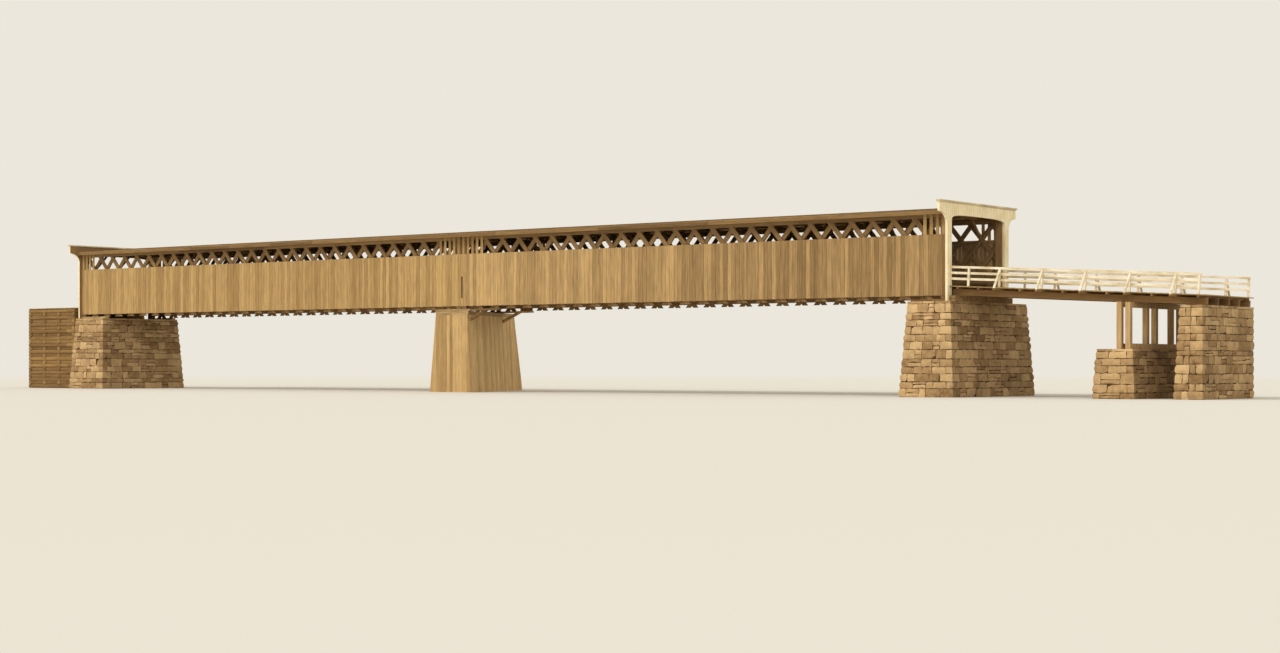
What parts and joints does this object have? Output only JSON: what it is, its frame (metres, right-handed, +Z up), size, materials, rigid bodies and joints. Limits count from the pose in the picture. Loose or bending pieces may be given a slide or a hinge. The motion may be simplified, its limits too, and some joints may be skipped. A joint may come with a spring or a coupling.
{
  "type": "covered bridge, 1:10 scale model",
  "caption": "Covered lattice-truss bridge, a 1:10 scale model with boarded walls, low roof, white portals, stone and timber piers and a railed trestle approach.",
  "frame": {"origin": "in the foot of the middle pier, on the middle line of the road and level with the middle of the pier's front face", "axes": "+X along the bridge towards the near portal and its railed approach, +Y towards the rear wall, +Z up"},
  "size_m": [9.6469, 1.13, 1.096],
  "materials": {
    "timber": "rough sawn, weathered",
    "dark_timber": "rough sawn, dark",
    "roof_boards": "weathered shingles",
    "siding_boards": "bare weathered boards",
    "white_paint": "painted white, matt",
    "rubble_stone": "rough quarry face"
  },
  "bodies": {
    "root": {"front_lattice_near": "timber", "front_lattice_far": "timber", "rear_lattice_near": "timber", "rear_lattice_far": "timber", "lower_chords": "timber", "top_chords": "timber", "truss_end_posts": "timber", "floor_beams": "dark_timber", "floor_bracing": "dark_timber", "roadway_deck": "dark_timber", "wheel_guards": "dark_timber", "tie_beams": "dark_timber", "roof_bracing": "dark_timber", "knee_braces": "dark_timber", "rafters": "dark_timber", "front_roof": "roof_boards", "rear_roof": "roof_boards", "roof_trim": "roof_boards", "front_siding_near": "siding_boards", "front_siding_far": "siding_boards", "rear_siding_near": "siding_boards", "rear_siding_far": "siding_boards", "siding_rails": "timber", "clerestory_strips": "siding_boards", "near_portal_posts": "white_paint", "near_portal_header": "white_paint", "far_portal_posts": "white_paint", "far_portal_header": "white_paint", "portal_cornices": "white_paint", "near_pier": "rubble_stone", "far_pier": "rubble_stone", "crib_pier": "siding_boards", "crib_cap": "timber", "bed_timbers": "dark_timber", "approach_stringers": "dark_timber", "approach_cross_beams": "dark_timber", "approach_deck": "dark_timber", "front_railing": "white_paint", "rear_railing": "white_paint", "trestle_bent": "timber", "bent_footing": "rubble_stone", "shore_abutment": "rubble_stone", "far_crib_logs": "timber", "far_crib_fill": "rubble_stone", "far_crib_deck": "dark_timber"}
  },
  "joints": []
}
